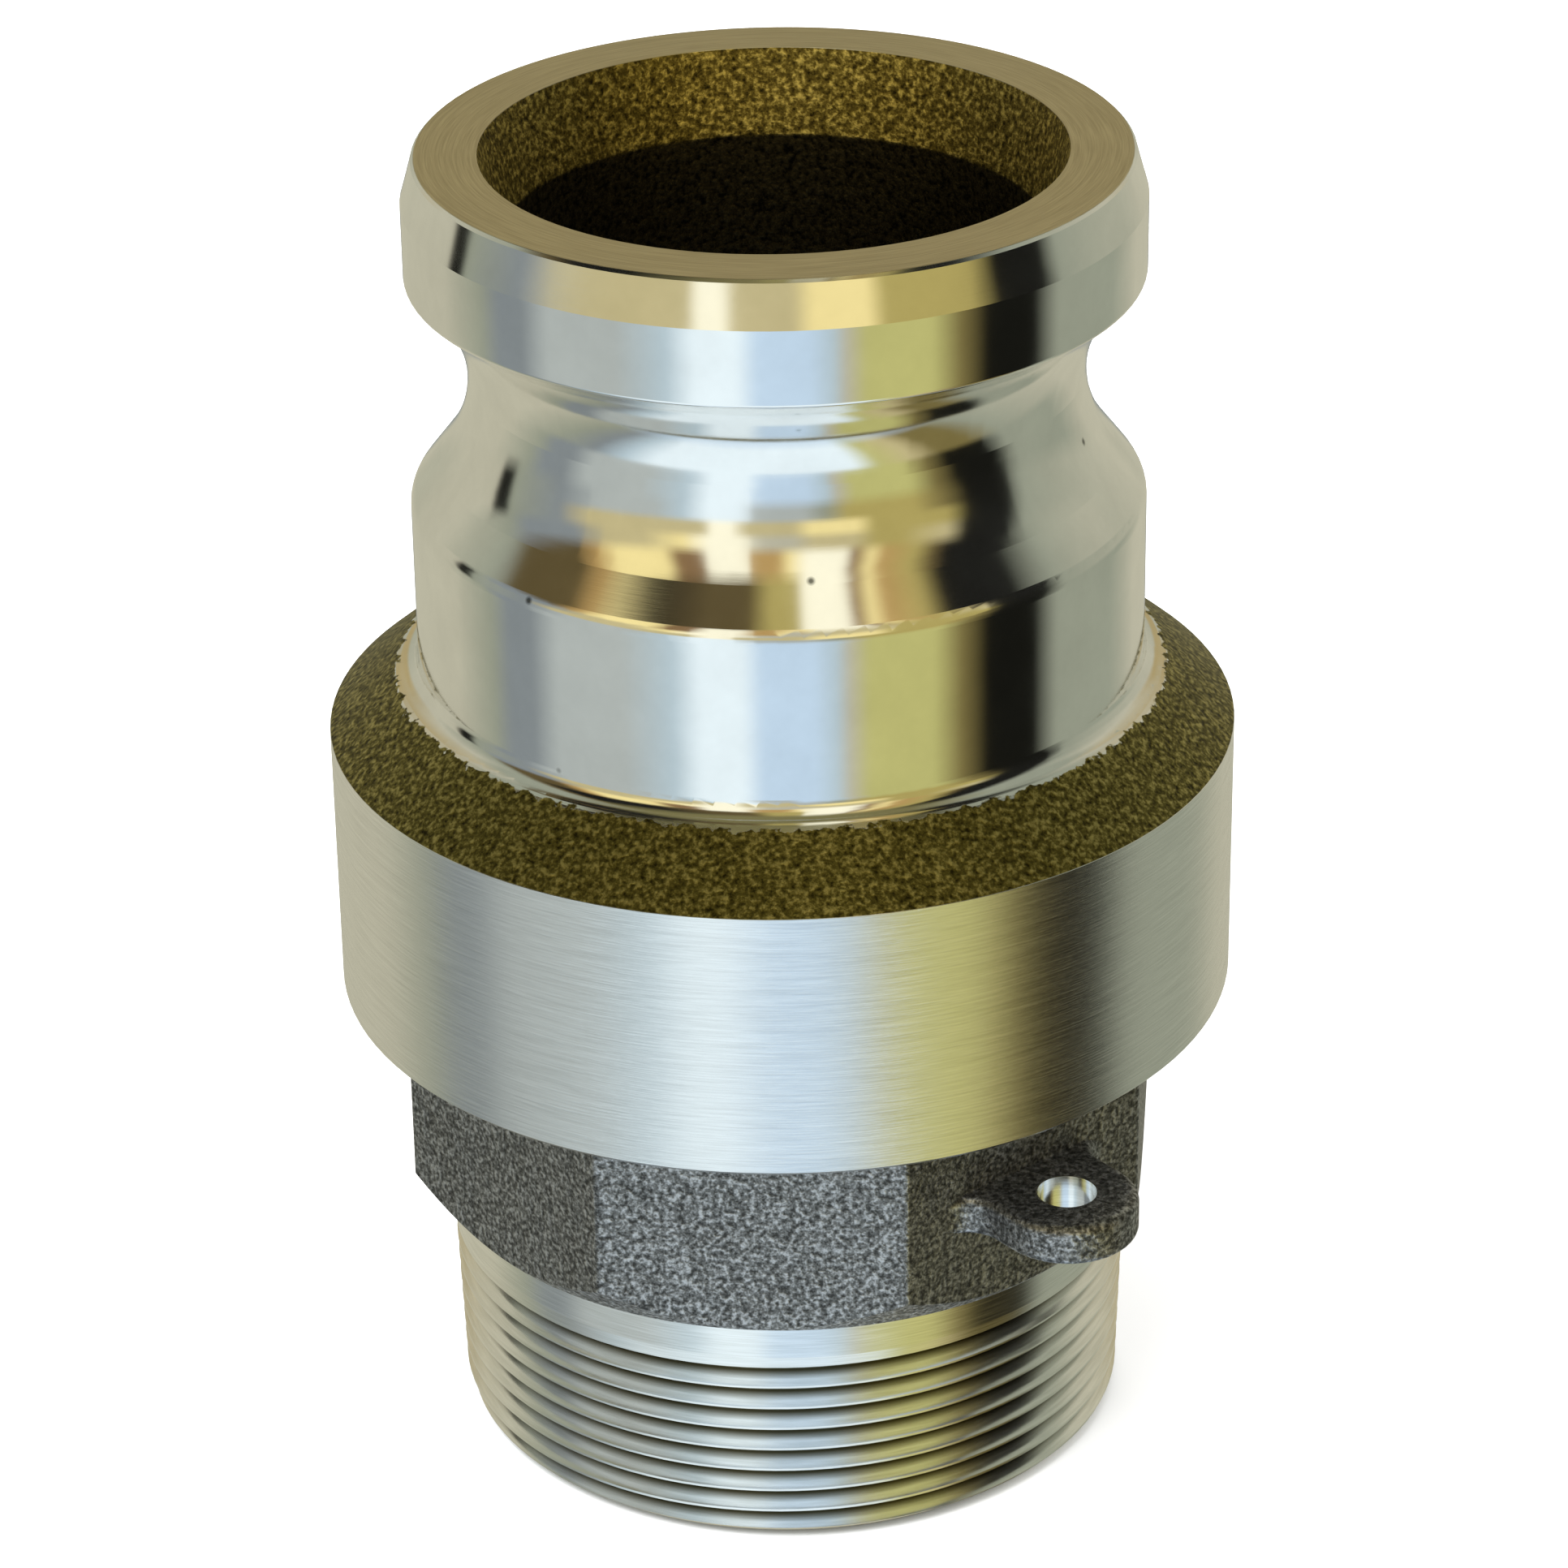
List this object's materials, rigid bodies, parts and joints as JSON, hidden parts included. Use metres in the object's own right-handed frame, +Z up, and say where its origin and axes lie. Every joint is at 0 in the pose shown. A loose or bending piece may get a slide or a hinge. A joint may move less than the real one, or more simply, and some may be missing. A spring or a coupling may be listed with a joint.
{
  "type": "camlock coupling",
  "caption": "Swivel cam-and-groove male adapter on a male pipe thread, with a ball-bearing collar, octagonal wrench flats and a chain lug",
  "frame": {"origin": "on the axis of the waterway, at the end face of the threaded nipple", "axes": "+Z up the waterway towards the cam head, -Y the side the pictures look at, with the loading ports and grease fitting at +Y"},
  "size_m": [0.1152, 0.123, 0.1737],
  "materials": {
    "adapter_aluminium": "turned bright on head, body and collar, sand cast on the collar's cone",
    "body_aluminium": "sand cast, with a turned thread and shank",
    "race_steel": "ground stainless steel",
    "ball_steel": "polished stainless steel",
    "plug_steel": "turned stainless steel",
    "clip_steel": "oiled spring steel",
    "seal_rubber": "matt nitrile rubber",
    "backup_plastic": "matt white PTFE",
    "fitting_steel": "zinc-plated steel"
  },
  "bodies": {
    "swivel_base": {"threaded_body": "body_aluminium", "upper_inner_race": "race_steel", "lower_inner_race": "race_steel", "inner_race_clip": "clip_steel", "main_o_ring": "seal_rubber", "grease_o_ring": "seal_rubber", "backup_ring": "backup_plastic"},
    "adapter": {"male_adapter": "adapter_aluminium", "upper_outer_race": "race_steel", "lower_outer_race": "race_steel", "outer_race_clip": "clip_steel", "dust_seal": "seal_rubber", "upper_loading_plug": "plug_steel", "lower_loading_plug": "plug_steel", "upper_plug_screw": "plug_steel", "lower_plug_screw": "plug_steel", "grease_fitting_body": "fitting_steel", "grease_fitting_spring": "clip_steel"},
    "upper_ball_row": {"upper_balls": "ball_steel"},
    "lower_ball_row": {"lower_balls": "ball_steel"},
    "check_ball": {"grease_fitting_ball": "ball_steel"}
  },
  "joints": [
    {"name": "adapter_swivel", "type": "hinge", "parent": "swivel_base", "child": "adapter", "pos_m": [0, 0, 0.0775], "axis": [0, 0, 1], "continuous": true},
    {"name": "upper_ball_orbit", "type": "hinge", "parent": "swivel_base", "child": "upper_ball_row", "pos_m": [0, 0, 0.08225], "axis": [0, 0, 1], "continuous": true},
    {"name": "lower_ball_orbit", "type": "hinge", "parent": "swivel_base", "child": "lower_ball_row", "pos_m": [0, 0, 0.07275], "axis": [0, 0, 1], "continuous": true},
    {"name": "grease_check_ball", "type": "slide", "parent": "adapter", "child": "check_ball", "axis": [0, -1, 0], "range_m": [0, 0.0008], "stiffness_N_per_m": 300, "springref_m": -0.001, "deforming": ["grease_fitting_spring"]}
  ],
  "couplings": [
    {"joint": "upper_ball_orbit", "follows": "adapter_swivel", "ratio": 0.5326},
    {"joint": "lower_ball_orbit", "follows": "adapter_swivel", "ratio": 0.5326}
  ]
}
